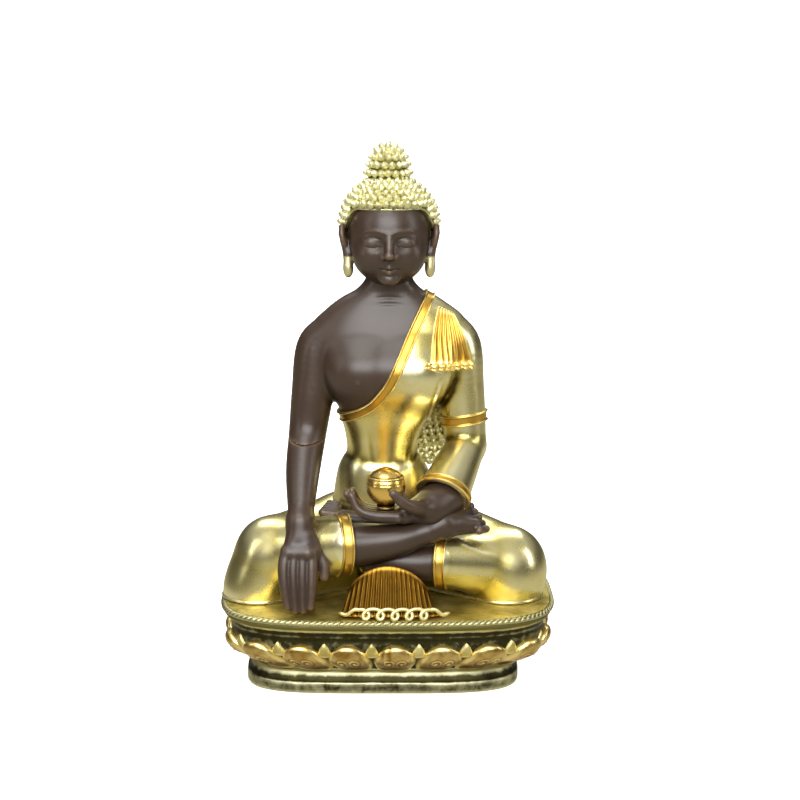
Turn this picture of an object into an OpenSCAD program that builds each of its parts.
// Seated brass figure on a lotus throne, as the separate castings, turned pieces and fasteners
// that it is put together from. Millimetres, +Z up, origin at the centre of the foot on the table.
// The figure faces -Y, so its own right side is on -X.

/* [Throne] */
// Width of the seat over its beaded rim
seat_w = 208; // [204:1:216]
// Depth of the seat over its beaded rim
seat_d = 140; // [138:1:150]
// Height of the seat's top face above the table
seat_top = 52; // [50:1:56]
// Width of the foot slab
foot_w = 170; // [164:1:176]
// Depth of the foot slab
foot_d = 100; // [98:1:106]
// Number of large petals round the throne
petals = 20; // [14:1:20]
// Thickness of the cast walls
wall = 3; // [2.5:0.1:3.5]

/* [Figure] */
// Height of the figure from the seat to the tip of its topknot
figure_h = 278; // [260:1:300]
// Thickness of the robe over the skin
robe_t = 1.2; // [1:0.1:1.6]
// Radius of the alms bowl
bowl_r = 11.8; // [10.5:0.1:12]

/* [Fasteners] */
// Radius of the two studs that hold the figure on the throne
stud_r = 3; // [2.5:0.1:3.5]
// Radius of the base plate's screws
screw_r = 1.5; // [1.2:0.1:1.8]
// Radius of the head's spigot in the neck
spigot_r = 8; // [7:0.1:9]
// Radius of the tenons at the shoulders, elbow and wrist
tenon_r = 4; // [3.5:0.1:4.5]
// Radial clearance of a piece in its bore
clearance = 0.05; // [0.03:0.01:0.09]

/* [Hidden] */

SKIN = "#4a3129";
ROBE = "#c9b458";
TRIM = "#b9892b";
OLD_BRASS = "#6f6a35";
STEEL = "#9a9a98";

figure_k = figure_h / 278;      // the figure's coordinates below are for a height of 278
limb_fn = 14;
digit_fn = 8;
outline_steps = 52;
seat_power = 3.6;               // squareness of the seat's outline
foot_power = 4;                 // squareness of the foot's outline
foot_shift = -3;                // the foot sits a little to one side of the seat
foot_h = 14;
plate_t = 7;                    // seat plate
bead_r = 1.8;
rim_beads = 40;
bead_z = seat_top - 3.2;
cover_t = 1.5;                  // sheet that closes the base
cover_z = 1.5;
drum_top = seat_top - plate_t;
petal_h = 18;
washer_t = 1.2;
nut_t = 4.5;
stud_x = 34;
stud_y = 16;
stud_up = 11;                   // length of a stud inside the leg casting
bowl_at = [-1, -45, 77.5];      // centre of the bowl, from the seat's top
bowl_foot = 1.6;                // height of the ring that the bowl stands on
bowl_foot_z = bowl_at.z - bowl_r - bowl_foot;
bowl_split = 5.2;               // height of the lid's joint above the bowl's centre
bowl_wall = 1.6;
peg_r = 2;
peg_l = 4;

// ---- general shapes ------------------------------------------------------------------------

function sgn_pow(v, p) = sign(v) * pow(abs(v), p);

// Point of a superellipse with half axes a and b
function oval(a, b, power, angle) =
    [a * sgn_pow(cos(angle), 2 / power), b * sgn_pow(sin(angle), 2 / power)];

function turn_angle(i, steps) = 360 * (i + 0.5) / steps;

// Two triangles for four corners given clockwise as seen from outside
function quad(a, b, c, d) = [[a, b, c], [a, c, d]];

// Quads of a closed tube: rings of cols points each, the first ring joined to the last
function tube_faces(rings, cols) = [
    for (i = [0:rings - 1], j = [0:cols - 1])
        let (i2 = (i + 1) % rings, j2 = (j + 1) % cols)
        each quad(i * cols + j, i * cols + j2, i2 * cols + j2, i2 * cols + j)
];

// A closed profile of [inset, height] pairs carried once round a superellipse
module moulding(profile, w, d, power, steps = outline_steps) {
    cols = len(profile);
    points = [
        for (i = [0:steps - 1], p = profile)
            concat(oval(w / 2 - p.x, d / 2 - p.x, power, turn_angle(i, steps)), [p.y])
    ];
    polyhedron(points, tube_faces(steps, cols), convexity = 6);
}

// A stack of rings with the same number of points, closed at both ends
module loft(rings) {
    cols = len(rings[0]);
    last = len(rings) - 1;
    points = [for (r = rings, p = r) p];
    sides = [
        for (i = [0:last - 1], j = [0:cols - 1])
            let (a = i * cols, b = a + cols, j2 = (j + 1) % cols)
            each quad(a + j, b + j, b + j2, a + j2)
    ];
    foot = [for (j = [1:cols - 2]) [0, j, j + 1]];
    head = [for (j = [1:cols - 2]) [last * cols, last * cols + j + 1, last * cols + j]];
    polyhedron(points, concat(sides, foot, head), convexity = 6);
}

// A patch of points with a thickness: rows of outer points over rows of inner ones. Seen from
// outside, the first row is the lowest and each row runs to the right.
module patch(outer, inner) {
    rows = len(outer);
    cols = len(outer[0]);
    n = rows * cols;
    points = concat([for (r = outer, p = r) p], [for (r = inner, p = r) p]);
    top = [
        for (i = [0:rows - 2], j = [0:cols - 2])
            let (a = i * cols + j, b = a + cols) each quad(a, b, b + 1, a + 1)
    ];
    below = [for (f = top) [f[2] + n, f[1] + n, f[0] + n]];
    rim = concat(
        [for (j = [0:cols - 1]) j],
        [for (i = [1:rows - 1]) i * cols + cols - 1],
        [for (j = [cols - 2:-1:0]) (rows - 1) * cols + j],
        [for (i = [rows - 2:-1:1]) i * cols]
    );
    edge = [
        for (k = [0:len(rim) - 1])
            let (a = rim[k], b = rim[(k + 1) % len(rim)])
            each [[a, b, b + n], [a, b + n, a + n]]
    ];
    polyhedron(points, concat(top, below, edge), convexity = 6);
}

// Balls of given radii joined one to the next
module limb(joints, grow = 0, fn = limb_fn) {
    for (i = [0:len(joints) - 2])
        hull() {
            ball(joints[i], grow, fn);
            ball(joints[i + 1], grow, fn);
        }
}

// One joint of a limb: [x, y, z, radius]
module ball(joint, grow = 0, fn = limb_fn)
    translate([joint.x, joint.y, joint.z]) sphere(joint[3] + grow, $fn = fn);

// An ellipsoid: centre and half axes
module egg(centre, radii, fn = limb_fn)
    translate(centre) scale(radii) sphere(1, $fn = fn);

// Stands the figure on the seat at its scale
module on_seat() translate([0, 0, seat_top]) scale(figure_k) children();

// A resize by nothing: the cast shape inside is worked out as one mesh
module cast() resize([0, 0, 0]) children();

// A bore or a shaft from one point towards another
module rod(from, to, r, extra = 0) {
    v = to - from;
    length = norm(v);
    translate(from)
        rotate([0, acos(v.z / length), atan2(v.y, v.x)])
            translate([0, 0, -extra]) cylinder(r = r, h = length + 2 * extra, $fn = 32);
}

// ---- throne --------------------------------------------------------------------------------

screw_angles = [28, 90, 152, 208, 270, 332];

function screw_place(angle) =
    concat(oval(foot_w / 2 - 11, foot_d / 2 - 11, foot_power, angle) + [foot_shift, 0], [0]);

module at_screws()
    for (angle = screw_angles) translate(screw_place(angle)) children();

module plinth() color(OLD_BRASS)
    difference() {
        union() {
            translate([foot_shift, 0, 0]) moulding([
                [0, 0], [0, 5.8], [0.5, 7], [1.8, 9], [3, 12], [4.6, foot_h],
                [13, foot_h], [13, foot_h - wall], [7, 9.4], [4, 6.8], [4, 0],
            ], foot_w, foot_d, foot_power);
            translate([0, 0, cover_z + cover_t + clearance])
                at_screws() cylinder(r = 4.2, h = 8.6, $fn = 24);
        }
        at_screws() cylinder(r = screw_r, h = 10, $fn = 24);
    }

module cover_outline(inset)
    polygon([
        for (i = [0:outline_steps - 1])
            oval(foot_w / 2 - inset, foot_d / 2 - inset, foot_power, turn_angle(i, outline_steps))
    ]);

module base_plate() color(OLD_BRASS)
    difference() {
        translate([foot_shift, 0, cover_z]) linear_extrude(cover_t) cover_outline(4.6);
        at_screws() cylinder(r = screw_r + 0.2, h = 10, $fn = 24);
    }

module base_plate_screws() color(STEEL)
    at_screws() {
        translate([0, 0, cover_z - 1.2]) difference() {
            cylinder(r = 2.8, h = 1.2, $fn = 32);
            translate([-3, -0.35, -0.1]) cube([6, 0.7, 0.7]);
        }
        translate([0, 0, cover_z]) cylinder(r = screw_r - clearance, h = 7.5, $fn = 24);
    }

// Height and inset of the drum's outer wall: a flared bell with a hollow under the rim
drum_wall = [
    [24, foot_h], [21.5, 17.5], [15, 22], [9.5, 27], [7, 31.5], [6.4, 36], [6.6, 39],
    [6, 42], [4.6, drum_top],
];

module throne_drum() color(OLD_BRASS)
    moulding(concat(
        drum_wall,
        [[12, drum_top], [12, 34], [19, 23], [27, 19], [30, foot_h]]
    ), seat_w, seat_d, seat_power);

// A point on the drum's outer wall, pushed out by lift. The wall is read between its corners.
function wall_inset(z) = lookup(z, [for (p = drum_wall) [p.y, p.x]]);
function on_drum(angle, z, lift) =
    concat(oval(seat_w / 2 - wall_inset(z) + lift, seat_d / 2 - wall_inset(z) + lift,
                seat_power, angle), [z]);

// Angles that space the petals evenly along the throne's outline rather than by turn
function outline_length(angle, step = 3) = angle <= 0 ? 0 :
    norm(oval(seat_w / 2, seat_d / 2, seat_power, angle)
       - oval(seat_w / 2, seat_d / 2, seat_power, angle - step)) + outline_length(angle - step);
outline_table = [for (a = [0:3:360]) [outline_length(a), a]];
outline_total = outline_length(360);
function even_angle(share) =
    let (s = share - floor(share)) lookup(s * outline_total, outline_table);

// One upturned petal: across runs -1 to 1, up runs 0 to 1, with a plump face and a round tip. Its
// rows stand at the given heights, which are corners of the drum's wall where it crosses them.
module petal(share, width, heights, thick) {
    rows = len(heights) - 1;
    cols = width > 15 ? 4 : 2;
    low = heights[0];
    high = heights[rows];
    half = width / outline_total / 2;
    function reach(up) = sqrt(max(0.02, 1 - pow(up, 3.2)));
    function plump(across, up) = thick * sqrt(max(0, 1 - pow(across, 2))) * (0.45 + 0.55 * sin(180 * up));
    function place(i, j, face) =
        let (up = (heights[i] - low) / (high - low), across = 2 * j / cols - 1)
        on_drum(even_angle(share + half * across * reach(up)), heights[i],
                face == 0 ? 0.35 : 0.75 + plump(across, up));
    patch([for (i = [0:rows]) [for (j = [0:cols]) place(i, j, 1)]],
          [for (i = [0:rows]) [for (j = [0:cols]) place(i, j, 0)]]);
}

front_share = 0.75;             // the outline starts at +X and runs towards +Y

module lotus_petals() color(TRIM)
    for (k = [0:petals - 1])
        petal(front_share + k / petals, outline_total / petals * 0.9,
              [foot_h + 1.2, drum_wall[2].y, drum_wall[3].y, drum_wall[4].y,
               foot_h + 4.2 + petal_h], 3.2);

module petal_tips() color(ROBE)
    for (k = [0:petals - 1])
        petal(front_share + (k + 0.5) / petals, 7,
              [foot_h + 18, drum_wall[5].y - 1.7, drum_wall[5].y, foot_h + petal_h + 7], 1.3);

module seat_outline(inset)
    polygon([
        for (i = [0:outline_steps - 1])
            oval(seat_w / 2 - inset, seat_d / 2 - inset, seat_power, turn_angle(i, outline_steps))
    ]);

module at_studs() for (side = [-1, 1]) translate([side * stud_x, stud_y, 0]) children();

module seat_plate() color(OLD_BRASS)
    difference() {
        translate([0, 0, drum_top]) linear_extrude(plate_t) seat_outline(3.2);
        at_studs() cylinder(r = stud_r + clearance, h = seat_top + 1, $fn = 32);
        translate([0, 0, drum_top - 1]) linear_extrude(plate_t - wall + 1) seat_outline(14);
    }

// A ring of rope beads: the bead's radius swells once for each bead
function swell(i) = i % 2 == 0 ? bead_r : bead_r * 0.82;

module seat_bead_rim() color(OLD_BRASS) {
    steps = rim_beads * 2;
    cols = 5;
    points = [
        for (i = [0:steps - 1], j = [0:cols - 1])
            let (a = even_angle((i + 0.5) / steps), r = swell(i), t = 360 * j / cols)
            concat(oval(seat_w / 2 - bead_r + r * cos(t), seat_d / 2 - bead_r + r * cos(t),
                        seat_power, a), [bead_z + bead_r * 1.4 * sin(t)])
    ];
    cast() difference() {
        polyhedron(points, tube_faces(steps, cols), convexity = 6);
        translate([0, 0, drum_top - 1]) linear_extrude(plate_t + 2) seat_outline(3.1);
        throne_drum();
    }
}

module figure_studs() color(STEEL)
    at_studs()
        translate([0, 0, seat_top - wall - washer_t - nut_t - 2.5])
            cylinder(r = stud_r, h = wall + washer_t + nut_t + 2.5 + stud_up, $fn = 32);

module figure_washers() color(STEEL)
    at_studs()
        translate([0, 0, seat_top - wall - washer_t]) difference() {
            cylinder(r = stud_r * 2, h = washer_t, $fn = 32);
            translate([0, 0, -1]) cylinder(r = stud_r + clearance, h = 4, $fn = 32);
        }

module figure_nuts() color(STEEL)
    at_studs()
        translate([0, 0, seat_top - wall - washer_t - nut_t]) difference() {
            cylinder(r = stud_r * 1.85, h = nut_t, $fn = 6);
            translate([0, 0, -1]) cylinder(r = stud_r + clearance, h = nut_t + 2, $fn = 32);
        }

// ---- the figure's forms, before its pieces are cut against each other -----------------------

// Joints of the limbs, as [x, y, z, radius] above the seat
hip_r = [-27, 20, 32, 25];
hip_l = [27, 20, 31, 25];
knee_r = [-71, -11, 27, 22];
knee_r_low = [-80.5, -13, 6, 21];
knee_l = [74, -12, 20, 23];
knee_l_low = [74, -13, 8, 21.5];
hem_r = [-24, -35, 39, 17.5];
hem_l = [30, -35, 28, 15];
right_shin = [[-30, -34, 38, 13.6], [-18, -38, 39, 13.6], [4, -43, 43, 10.6], [24, -42, 48.5, 7]];
right_foot = [[24, -42, 48.5, 7], [33, -38, 52, 8.5]];
left_shin = [[36, -33, 27, 12.5], [14, -36, 27, 11], [-8, -33, 29, 9.5]];
left_foot = [[14, -20, 48, 6.5], [-8, -19, 49, 6], [-28, -18, 50, 6.5]];
right_arm = [[-36, 9, 157, 13], [-42, 8, 150, 14.3], [-49.5, 1, 101, 11.6]];
right_fore = [[-49.5, 1, 101, 11.6], [-52.3, -18, 77, 10.2], [-52.6, -37, 55, 7.4]];
left_arm = [[36, 9, 159, 12.5], [42, 8, 152, 13.4], [47, 5, 112, 12], [49, 3, 92, 10.8]];
left_fore = [[49, 3, 92, 10.8], [34, -31, 69, 14.5]];
left_wrist = [[36, -28, 68, 9], [25, -41, 62, 9.6]];

// Torso rings: height, centre x, centre y, half width, half depth
torso_rings = [
    [34, -1, 12, 29, 23.5], [50, -1, 11, 33, 25.5], [62, -1.8, 10, 30, 24.5],
    [76, -2, 9, 26.6, 22], [88, -2.2, 8, 21.8, 19.6], [98, -1.6, 7.5, 23.2, 20],
    [112, 0.2, 6.5, 29.4, 22.3], [128, 0.2, 5.5, 36.8, 25], [144, 0, 5.5, 42, 25.5],
    [156, 0, 7, 45, 23.5], [165, 0, 8, 43.2, 20.5], [173, 0.5, 8.5, 38.2, 18],
    [179, 1, 8.5, 32.2, 16.2], [184, 1, 8.5, 25.2, 15], [188.5, 1, 8, 18.2, 13.8],
    [194, 1, 7, 14.8, 13.2],
    [202, 1, 6, 14, 13],
];

// The torso as a loft of superellipse rings, its rings moved out by grow
module torso_form(grow = 0, steps = 20) {
    loft([
        for (r = torso_rings)
            [for (i = [0:steps - 1])
                let (p = oval(r[3] + grow, r[4] + grow, 2.3, turn_angle(i, steps)))
                [r.y + p.x, r.z + p.y, r.x]]
    ]);
}

// The legs folded in the lotus seat, under the robe, each shin's sleeve ended at its hem
module leg_form(grow = 0) {
    for (joints = [[hip_r, knee_r, [-36, 17, 10, 25], knee_r_low],
                   [hip_l, knee_l, [36, 17, 10, 25], knee_l_low],
                   [hip_r, hip_l, [-36, 17, 10, 25], [36, 17, 10, 25]],
                   [[0, 0, 26, 20], [0, 18, 20, 26]]])
        hull() for (joint = joints) ball(joint, grow, 16);
    difference() {
        limb([knee_r, hem_r], grow, 16);
        right_hem_cut();
    }
    difference() {
        limb([knee_l, hem_l], grow, 16);
        left_hem_cut();
    }
}

// The hollow in the legs, open where the torso stands in it, with a boss left for each stud
module leg_hollow()
    difference() {
        limb([[-62, -4, 18, 13], [-26, 10, 22, 15], [26, 10, 22, 15], [62, -4, 18, 13]], fn = 12);
        translate([-150, -150, -80]) cube([300, 300, 80 + 2 * wall]);
        for (side = [-1, 1])
            translate([side * stud_x, stud_y, 0]) cylinder(r = 7, h = 16, $fn = 12);
    }

module below_seat() translate([-150, -150, -80]) cube([300, 300, 80]);

// Planes that end the robe on each shin: everything past the hem
module past_hem(at, turn, side)
    translate([at.x, at.y, at.z]) rotate([0, 0, turn]) translate([side > 0 ? 0 : -80, -60, -60])
        cube([80, 120, 120]);

module right_hem_cut() past_hem(hem_r, 14, 1);
module left_hem_cut() past_hem(hem_l, -10, -1);

module right_leg_form() {
    limb(right_shin);
    limb(right_foot);
    hull() {
        ball([33, -38, 52, 8]);
        ball([46, -25, 57, 5]);
        ball([53, -34, 50, 5]);
    }
    for (k = [0:4])
        limb([[46 + 2.4 * k, -24 - 3.6 * k, 58 - 2.4 * k, 3],
              [50.5 + 2.2 * k, -20 - 3.7 * k, 57.5 - 2.5 * k, 2.8 - 0.15 * k]], fn = digit_fn);
}

module left_leg_form() {
    limb(left_shin);
    limb([[-8, -33, 29, 9], [8, -22, 42, 6.5]]);
    limb(left_foot);
    for (k = [0:4])
        limb([[-32, -21 + 3.4 * k, 54 + 0.6 * k, 3],
              [-40 + k, -21 + 3.6 * k, 55 + 0.6 * k, 2.8 - 0.15 * k]], fn = digit_fn);
}

module right_hand_form() {
    hull() {
        ball([-52.6, -41, 50, 7]);
        ball([-61, -48, 36, 4.6]);
        ball([-45, -49, 36, 4.6]);
    }
    for (k = [0:3])
        limb([[-62 + 5.6 * k, -48.5, 35, 3.9], [-62 + 5.9 * k, -53.5, 21, 3.5],
              [-59.5 + 4.4 * k, -57, k == 0 || k == 3 ? 6.5 : 4, 3]], fn = digit_fn);
    limb([[-45, -43, 44, 4.6], [-38.5, -46, 33, 4.2], [-38, -50, 25, 3.4]], fn = digit_fn);
}

module left_hand_form() {
    limb(left_wrist);
    hull() {
        ball([25, -41, 63, 8]);
        ball([6, -50, 60, 4.2]);
        ball([4, -37, 60, 4.2]);
    }
    for (k = [0:3])
        limb([[5, -51 + 4.8 * k, 60, 3.8], [-10, -50.5 + 4.7 * k, 61.5, 3.4],
              [-18, -49.5 + 4.5 * k, 65.5, 3],
              [-21 - (k == 1 || k == 2 ? 2.5 : 0), -48.5 + 4.3 * k, 71, 2.5]], fn = digit_fn);
    limb([[21, -49, 65, 4.4], [14, -58, 68.5, 3.6], [5, -62, 73.5, 2.8]], fn = digit_fn);
}

skull = [1, 3, 225];
skull_r = [25.3, 27.5, 28];
hair_r = [29.4, 29.3, 29.5];
hair_at = [1, 5, 228];

module head_form() {
    hull() {
        egg(skull, skull_r, 22);
        egg([1, -5, 209], [18.5, 18, 15.5], 18);
    }
    limb([[1, -23, 221, 1.8], [1, -24.6, 211.5, 2.9]], fn = digit_fn);
    for (side = [-1, 1]) {
        egg([1 + side * 9.5, -19.6, 219], [5.4, 4, 3], digit_fn);
        limb([[1, -21.6, 203.5, 1.8], [1 + side * 6, -19.8, 204.2, 1.3]], fn = digit_fn);
        ear(side);
    }
}

// An ear flat against the side of the head, with a long lobe
module ear(side) {
    hull() {
        egg([1 + side * 26.4, 0, 223], [2.8, 5.4, 6], 10);
        egg([1 + side * 24, -1, 213], [3.2, 4, 4], 10);
    }
    hull() {
        egg([1 + side * 24, -1, 213], [3.2, 3.8, 4], 10);
        egg([1 + side * 24.6, -3.4, 200.5], [3, 2.8, 4.4], 10);
    }
}

// Everywhere above the line of the hair: high over the brow, low behind the ears
module hair_region() {
    translate([-60, 0, 0]) rotate([90, 0, 90]) linear_extrude(120) polygon([
        [-60, 240.5], [-10, 240.5], [-6, 237], [-2, 230], [2, 227], [8, 226], [14, 204], [60, 200],
        [60, 300], [-60, 300],
    ]);
}

// Everything under the curve that the robe's upper edge follows, seen from the front: steep from
// the left shoulder, level under the right arm. lift moves the curve out, square to itself.
edge_curve = [[-60, 107], [-36, 109.5], [-27.6, 112.6], [-19, 116], [-10.6, 121.5], [-3.5, 128.5],
              [2.2, 137], [12, 157.5], [23, 182], [32, 203], [60, 265]];
edge_half = 3.5;

module robe_side(lift = 0)
    translate([0, 100, 0]) rotate([90, 0, 0]) linear_extrude(200) offset(delta = lift)
        polygon(concat(edge_curve, [[100, 265], [100, -120], [-100, -120], [-100, 107]]));

// ---- the figure's pieces --------------------------------------------------------------------

module leg_robe() color(ROBE) on_seat()
    difference() {
        cast() difference() {
            leg_form();
            below_seat();
            leg_hollow();
            torso_form(robe_t + 0.02);
            right_leg_form();
            left_leg_form();
            right_hand_form();
            left_hand_form();
            limb(right_fore);
        }
        for (side = [-1, 1])
            translate([side * stud_x, stud_y, -1])
                cylinder(r = stud_r + clearance, h = stud_up / figure_k + 1.1, $fn = 32);
    }

module right_leg() color(SKIN) on_seat()
    cast() difference() {
        right_leg_form();
        left_hand_form();
        right_hand_form();
        torso_form(robe_t);
    }

module left_leg() color(SKIN) on_seat()
    cast() difference() {
        left_leg_form();
        right_leg_form();
        left_hand_form();
        torso_form(robe_t);
    }

// A raised band round the end of a sleeve or leg, as a slice of the grown limb
module hem_band(joints, at, turn, width, side) {
    intersection() {
        difference() {
            limb(joints, 0.9, 16);
            limb(joints, 0.05, 16);
        }
        past_hem(at - [side * width, 0, 0, 0], turn, side);
        past_hem(at, turn, -side);
    }
}

module right_leg_hem() color(TRIM) on_seat()
    cast() difference() {
        hem_band([knee_r, hem_r, hem_r + [4, 0, 0, 0]], hem_r, 14, 7.5, 1);
        leg_form(0.02);
        right_hand_form();
        torso_form(robe_t);
        left_leg_form();
        left_hand_form();
        below_seat();
    }

module left_leg_hem() color(TRIM) on_seat()
    cast() difference() {
        hem_band([knee_l, hem_l, hem_l - [4, 0, 0, 0]], hem_l, -10, 6.5, -1);
        leg_form(0.02);
        right_leg_form();
        torso_form(robe_t);
        left_hand_form();
        below_seat();
    }

// The robe's end, spread on the seat in front of the shins. across runs -1 to 1, down 0 to 1.
function fan_point(across, down, lift) =
    let (pleat = 0.7 * sin(across * 1900) * down,
         top = 29 - 12 * pow(abs(across + 0.1), 1.5),
         back = -53 + 5 * across * across,
         front = -65.5 + 5.5 * pow(across, 4))
    [2 + across * (25 + 6 * down),
     back + (front - back) * down - (lift + pleat) * 0.8,
     top * pow(1 - down, 1.25) + 1.4 + (lift + pleat) * 0.6];

module fan_sheet(low, high, from, to, rows = 5, cols = 30)
    patch([for (i = [0:rows]) [for (j = [0:cols])
              fan_point(1 - 2 * j / cols, from + (to - from) * i / rows, high)]],
          [for (i = [0:rows]) [for (j = [0:cols])
              fan_point(1 - 2 * j / cols, from + (to - from) * i / rows, low)]]);

module robe_fan() color(TRIM) on_seat()
    cast() difference() {
        fan_sheet(-1.2, 1, 0, 0.93);
        leg_form(0.05);
        right_leg_form();
        left_leg_form();
        below_seat();
    }

module robe_fan_hem() color(ROBE) on_seat()
    cast() difference() {
        union() {
            for (k = [-2:2]) ball([2 + 11 * k, -65 + abs(k) * 0.5, 2, 2.3], fn = digit_fn);
            limb([for (k = [-5:5]) [2 + 5.8 * k, -64.9 + 0.14 * k * k, 1.2, 1.6]], fn = digit_fn);
        }
        fan_sheet(-1.2, 1.02, 0, 0.93);
        below_seat();
    }

module torso() color(SKIN) on_seat()
    difference() {
        cast() difference() {
            torso_form();
            torso_form_hollow();
            head_form();
        }
        rod(spigot_low, spigot_high, spigot_r + clearance, 0.01);
        rod([1, 8, 186], [1, 30, 186], pin_r + clearance);
        rod(right_tenon[0], right_tenon[1], tenon_r + clearance);
        rod(left_tenon[0], left_tenon[1], tenon_r + clearance);
    }

spigot_low = [1, 7.5, 178];
spigot_high = [1, 7.5, 204];
pin_r = 1.2;
right_tenon = [[-24, 9, 152], [-50, 9, 152]];
left_tenon = [[24, 9, 152], [50, 9, 152]];
elbow_tenon = [[-49, 2.5, 109], [-50, 0, 93]];
wrist_tenon = [[39, -22, 72], [30, -35, 64.5]];

// The hollow in the torso casting opens below and stops short of the shoulder sockets
module torso_form_hollow() {
    difference() {
        torso_form(-wall - 1, 12);
        translate([-100, -100, 143]) cube([200, 200, 80]);
    }
    translate([0, 12, 30]) scale([1, 0.75, 1]) cylinder(r = 24, h = 12, $fn = 20);
}

module torso_robe() color(ROBE) on_seat()
    cast() difference() {
        intersection() {
            torso_form(robe_t);
            robe_side(edge_half);
        }
        torso_form(0.02);
        limb(right_arm);
        left_arm_form();
        translate([-100, -100, 0]) cube([200, 200, 41]);
        left_hand_form();
    }

module robe_border() color(TRIM) on_seat()
    cast() difference() {
        intersection() {
            torso_form(robe_t + 0.9);
            difference() {
                robe_side(edge_half);
                robe_side(-edge_half);
            }
        }
        torso_form(robe_t + 0.02);
        limb(right_arm);
        left_arm_form();
        pleat_sheet(-7, 1.65);
    }

// The robe's free end down the back, under the left arm
function tail_point(across, down, lift) =
    let (pleat = 0.8 * sin(across * 900))
    [29 + across * (6 + 5 * down), 30.5 - 11 * pow(1 - down, 2) - 3 * pow(across, 2) + lift + pleat,
     171 - 93 * down];

module tail_sheet(low, high, to)
    patch([for (i = [0:4]) [for (j = [0:14]) tail_point(2 * j / 14 - 1, i / 4 * to, high)]],
          [for (i = [0:4]) [for (j = [0:14]) tail_point(2 * j / 14 - 1, i / 4 * to, low)]]);

module robe_tail() color(ROBE) on_seat()
    cast() difference() {
        tail_sheet(-2.2, 1.2, 1);
        torso_form(robe_t + 0.05);
        left_arm_form();
        leg_form(0.05);
    }

module robe_tail_hem() color(TRIM) on_seat()
    cast() difference() {
        limb([for (k = [-4:4]) [29 + 2.7 * k, 29.6 - 0.12 * k * k + 0.9 * (k % 2), 76.5, 2.2]],
             fn = digit_fn);
        tail_sheet(-2.2, 1.25, 1);
        torso_form(robe_t + 0.05);
        leg_form(0.05);
    }

module right_upper_arm() color(SKIN) on_seat()
    difference() {
        union() {
            cast() difference() {
                limb(right_arm);
                torso_form();
                elbow_cut(-1);
            }
            rod([-30, 9, 152], right_tenon[1], tenon_r);
        }
        rod(elbow_tenon[0], elbow_tenon[1], tenon_r + clearance, 0.5);
    }

// Everything below the elbow's joint face, or above it
module elbow_cut(side)
    translate([-50, 0, 99]) rotate([12, 0, 0]) translate([-40, -60, side > 0 ? 0 : -120])
        cube([80, 120, 120]);

module right_forearm() color(SKIN) on_seat() {
    cast() difference() {
        union() {
            limb(concat([[-49, 3, 109, 11.8]], right_fore));
            right_hand_form();
        }
        elbow_cut(1);
        below_seat();
    }
    rod(elbow_tenon[0], elbow_tenon[1], tenon_r);
}

module left_arm_form(grow = 0) {
    limb(left_arm, robe_t + grow);
    limb(left_fore, robe_t + grow);
}

// Everything above the sleeve's joint below the armband, or below it
module sleeve_cut(side)
    translate([50, 4, 104]) translate([-40, -60, side > 0 ? 0 : -120]) cube([80, 120, 120]);

// Everything past the sleeve's open end
module cuff_cut(shift = 0)
    translate([34, -31, 69]) rotate([0, 0, atan2(-34, -15)]) rotate([0, 32, 0])
        translate([shift, -50, -50]) cube([60, 100, 100]);

module left_upper_sleeve() color(ROBE) on_seat()
    difference() {
        union() {
            cast() difference() {
                limb(left_arm, robe_t);
                torso_form();
                sleeve_cut(-1);
            }
            rod([30, 9, 152], left_tenon[1], tenon_r);
        }
    }

module left_forearm_sleeve() color(ROBE) on_seat()
    difference() {
        cast() difference() {
            left_arm_form();
            sleeve_cut(1);
            cuff_cut();
            limb(left_wrist, 0.05);
            torso_form(robe_t + 0.05);
            right_leg_form();
        }
        rod(wrist_tenon[0], wrist_tenon[1], tenon_r + clearance, 0.5);
    }

module left_armband() color(TRIM) on_seat()
    cast() intersection() {
        difference() {
            limb(left_arm, robe_t + 1.3, 24);
            left_arm_form(0.02);
            torso_form(robe_t);
            translate([47, 5, 112]) rotate([0, -8, 0]) difference() {
                translate([-40, -40, -0.8]) cube([80, 80, 1.6]);
                limb([[0, 0, -9, 12], [0, 0, 9, 12]], robe_t + 0.6, 24);
            }
        }
        translate([47, 5, 112]) rotate([0, -8, 0]) translate([-40, -40, -3.4])
            cube([80, 80, 6.8]);
    }

module left_cuff() color(TRIM) on_seat()
    cast() difference() {
        intersection() {
            limb([left_fore[0], left_fore[1], left_fore[1] + [-3, -6, -2, 0]], robe_t + 1, 24);
            cuff_cut(-5);
        }
        left_arm_form(0.02);
        cuff_cut(0.8);
        left_hand_form();
        left_leg_form();
        right_leg_form();
        torso_form(robe_t);
        leg_form(0.1);
    }

module left_hand() color(SKIN) on_seat()
    difference() {
        union() {
            cast() difference() {
                left_hand_form();
                translate([0, 0, bowl_foot_z])
                    translate([bowl_at.x, bowl_at.y, 0]) cylinder(r = 7, h = 20, $fn = 32);
                bowl_clear();
            }
            rod(wrist_tenon[0], wrist_tenon[1], tenon_r);
        }
        translate([bowl_at.x, bowl_at.y, bowl_foot_z - peg_l - 0.4])
            cylinder(r = peg_r + clearance, h = peg_l + 6, $fn = 32);
    }

// The way up for the bowl, kept clear of the fingers and the thumb
module bowl_clear()
    translate([bowl_at.x, bowl_at.y, bowl_at.z]) {
        sphere(bowl_r + 0.4, $fn = 32);
        cylinder(r = bowl_r + 0.4, h = 60, $fn = 32);
    }

// Gathered pleats that fall from the left shoulder
function pleat_point(across, down, lift) =
    let (pleat = 0.8 * sin(across * 850),
         x = 36 + 5.8 * across + down * (3 + 7.9 * across),
         z = 176 - 6.5 * across * (1 - down) - 31 * down,
         y = -4 - pow(down, 0.7) * (11 - 5.5 * across + 1.5 * across * across))
    [x, y - lift - pleat, z + lift * 0.5];

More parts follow.
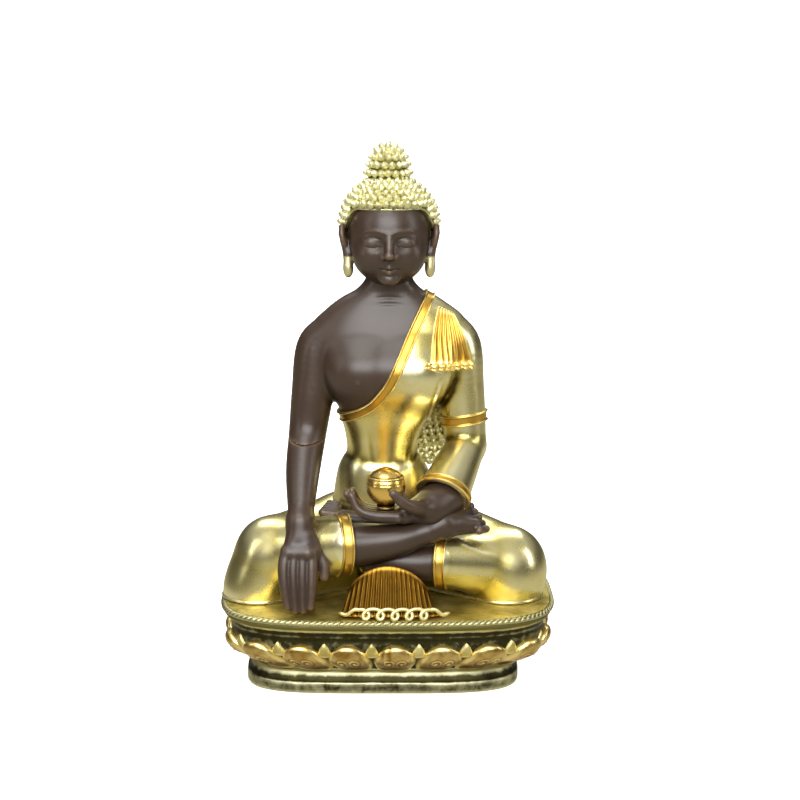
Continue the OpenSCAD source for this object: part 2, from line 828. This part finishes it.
module pleat_sheet(low, high)
    patch([for (i = [0:6]) [for (j = [0:20]) pleat_point(1 - 2 * j / 20, i / 6, high)]],
          [for (i = [0:6]) [for (j = [0:20]) pleat_point(1 - 2 * j / 20, i / 6, low)]]);

module shoulder_pleats() color(TRIM) on_seat()
    cast() difference() {
        pleat_sheet(-7, 1.6);
        torso_form(robe_t + 0.03);
        left_arm_form(0.03);
        translate([-100, -100, 179]) cube([200, 200, 41]);
    }

module shoulder_pleat_hem() color(TRIM) on_seat()
    cast() difference() {
        limb([for (k = [-5:5])
                let (p = pleat_point(k / 5, 1, 0.6)) [p.x, p.y + 0.6 * (k % 2), p.z - 1.2, 2.1]],
             fn = digit_fn);
        pleat_sheet(-7, 1.65);
        torso_form(robe_t + 0.03);
        left_arm_form(0.03);
    }

module head() color(SKIN) on_seat()
    difference() {
        union() {
            cast() difference() {
                head_form();
                egg(skull + [0, 0, 2], skull_r - [6, 6, 8], 12);
                translate([1, 7.5, 190]) cylinder(r = spigot_r / 2, h = 30, $fn = 12);
            }
            difference() {
                rod(spigot_low + [0, 0, 0.4], [1, 7.5, 203], spigot_r);
                rod(spigot_low, [1, 7.5, 204], spigot_r / 2);
            }
        }
        rod([1, 6, 186], [1, 30, 186], pin_r + clearance);
    }

module neck_pin() color(ROBE) on_seat()
    rod([1, 6.5, 186], [1, 21, 186], pin_r);

// Rows of pointed curls on an ellipsoid, as a loft whose rings swell at each curl
module curled(centre, radii, rows, cols, from, to, swell)
    loft([
        for (i = [0:rows])
            let (lat = from + (to - from) * i / rows)
            [for (j = [0:cols - 1])
                let (lon = 360 * j / cols,
                     peak = i % 2 == 1 && (j + (i - 1) / 2) % 2 == 0,
                     k = 1 + (peak ? swell : 0) / radii.x)
                centre + [k * radii.x * cos(lat) * cos(lon), k * radii.y * cos(lat) * sin(lon),
                          k * radii.z * sin(lat)]]
    ]);

module hair_form()
    intersection() {
        curled(hair_at, hair_r, 13, 32, -60, 84, 2);
        hair_region();
    }

module hair_cap() color(ROBE) on_seat()
    cast() difference() {
        hair_form();
        head_form();
        translate([-100, -100, 255]) cube([200, 200, 40]);
        torso_form();
    }

module topknot() color(ROBE) on_seat()
    cast() difference() {
        curled([0.5, 6, 255], [14.4, 14.4, 22], 9, 20, -12, 85, 2);
        translate([-100, -100, 192]) cube([200, 200, 63.02]);
    }

// The bowl: a hollow ball cut open near its top, on a short foot with a peg for the palm
module alms_bowl() color(TRIM) on_seat()
    translate(bowl_at) {
        rotate_extrude($fn = 64) difference() {
            intersection() {
                union() {
                    circle(bowl_r, $fn = 96);
                    translate([0, -bowl_r - bowl_foot]) square([5.6, 3.4]);
                }
                translate([0, -30]) square([30, 30 + bowl_split]);
            }
            translate([0, 0.6]) circle(bowl_r - bowl_wall, $fn = 96);
        }
        translate([0, 0, -bowl_r - bowl_foot - peg_l]) cylinder(r = peg_r, h = peg_l + 1, $fn = 32);
    }

// The lid: the ball's cap with a lip over the bowl's rim and a ring that fits inside it
module bowl_lid() color(TRIM) on_seat()
    translate(bowl_at)
        rotate_extrude($fn = 64) {
            difference() {
                union() {
                    intersection() {
                        circle(bowl_r - 0.3, $fn = 96);
                        translate([0, bowl_split]) square([30, 30]);
                    }
                    translate([0, bowl_split]) square([10.75, 1]);
                }
                translate([0, -1.2]) circle(bowl_r - 2, $fn = 96);
            }
            translate([7.5, bowl_split - 1.4]) square([1.4, 2]);
        }

plinth();
base_plate();
base_plate_screws();
throne_drum();
lotus_petals();
petal_tips();
seat_plate();
seat_bead_rim();
figure_studs();
figure_washers();
figure_nuts();
leg_robe();
right_leg();
left_leg();
right_leg_hem();
left_leg_hem();
robe_fan();
robe_fan_hem();
torso();
torso_robe();
robe_border();
robe_tail();
robe_tail_hem();
right_upper_arm();
right_forearm();
left_upper_sleeve();
left_forearm_sleeve();
left_armband();
left_cuff();
left_hand();
shoulder_pleats();
shoulder_pleat_hem();
head();
neck_pin();
hair_cap();
topknot();
alms_bowl();
bowl_lid();
